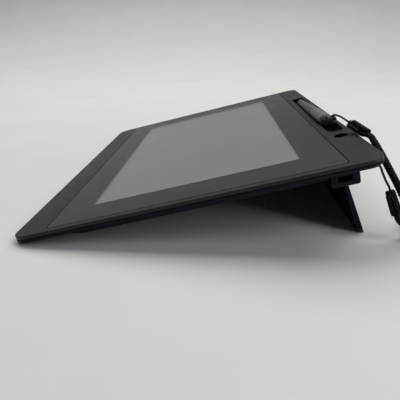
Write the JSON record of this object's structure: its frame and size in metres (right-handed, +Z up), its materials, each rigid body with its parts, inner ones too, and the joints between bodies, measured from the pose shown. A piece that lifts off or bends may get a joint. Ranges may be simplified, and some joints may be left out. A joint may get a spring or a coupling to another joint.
{
  "type": "graphics tablet with screen",
  "caption": "Slim graphics tablet with a built-in screen, propped on a fold-out rear stand, its pen lying in a trough along the back edge on a braided cord tether.",
  "frame": {"origin": "on the table, under the middle of the tablet as it stands on its open stand, tether left out", "axes": "+X to the user's right, the end with the port; +Y from the front edge to the back edge; +Z up from the table"},
  "size_m": [0.278, 0.2602, 0.061],
  "materials": {
    "frame_plastic": "fine satin texture",
    "case_plastic": "fine matt texture",
    "cover_glass": "etched, matt",
    "tape": "matt",
    "panel": "matt",
    "light_guide": "gloss",
    "chassis": "satin",
    "board": "solder resist",
    "shield": "satin",
    "steel": "satin",
    "flex": "gloss",
    "ribbon": "matt",
    "rubber": "matt",
    "pen_grip": "satin",
    "pen_barrel": "satin",
    "pen_trim": "satin",
    "copper": "enamelled wire",
    "thin_cord": "twisted",
    "braid": "braided",
    "clip": "satin"
  },
  "bodies": {
    "tablet": {"front_frame": "frame_plastic", "cover_glass": "cover_glass", "glass_tape": "tape", "display_panel": "panel", "backlight": "light_guide", "chassis": "chassis", "sensor_board": "board", "shield_plate": "shield", "main_board": "board", "board_screws": "steel", "display_flex": "flex", "port_ribbon": "ribbon", "port_board": "board", "usb_socket": "steel", "rear_cover": "case_plastic", "case_screws": "steel", "hinge_housing": "case_plastic", "housing_screws": "steel", "hinge_pins": "steel", "front_feet": "rubber", "housing_feet": "rubber", "tether_anchor": "steel", "pen_loop_cord": "thin_cord", "pen_end_clip": "clip", "tether_cord": "braid", "tablet_end_clip": "clip", "anchor_cord": "thin_cord"},
    "stand": {"stand": "case_plastic", "stand_foot": "rubber"},
    "pen": {"pen_grip": "pen_grip", "pen_barrel": "pen_barrel", "pen_tail_cap": "pen_trim", "pen_coil": "copper", "pen_board": "board"},
    "nib": {"pen_nib": "pen_trim"}
  },
  "joints": [
    {"name": "stand_hinge", "type": "hinge", "parent": "tablet", "child": "stand", "pos_m": [0, 0.08427, 0.0376], "axis": [1, 0, 0], "range_deg": [-97, 0]},
    {"name": "pen_lift", "type": "slide", "parent": "tablet", "child": "pen", "axis": [0, -0.2385, 0.9711], "range_m": [0, 0.025]},
    {"name": "nib_press", "type": "slide", "parent": "pen", "child": "nib", "axis": [0.9997, -0.0055, 0.0224], "range_m": [0, 0.0004], "stiffness_N_per_m": 1500}
  ]
}
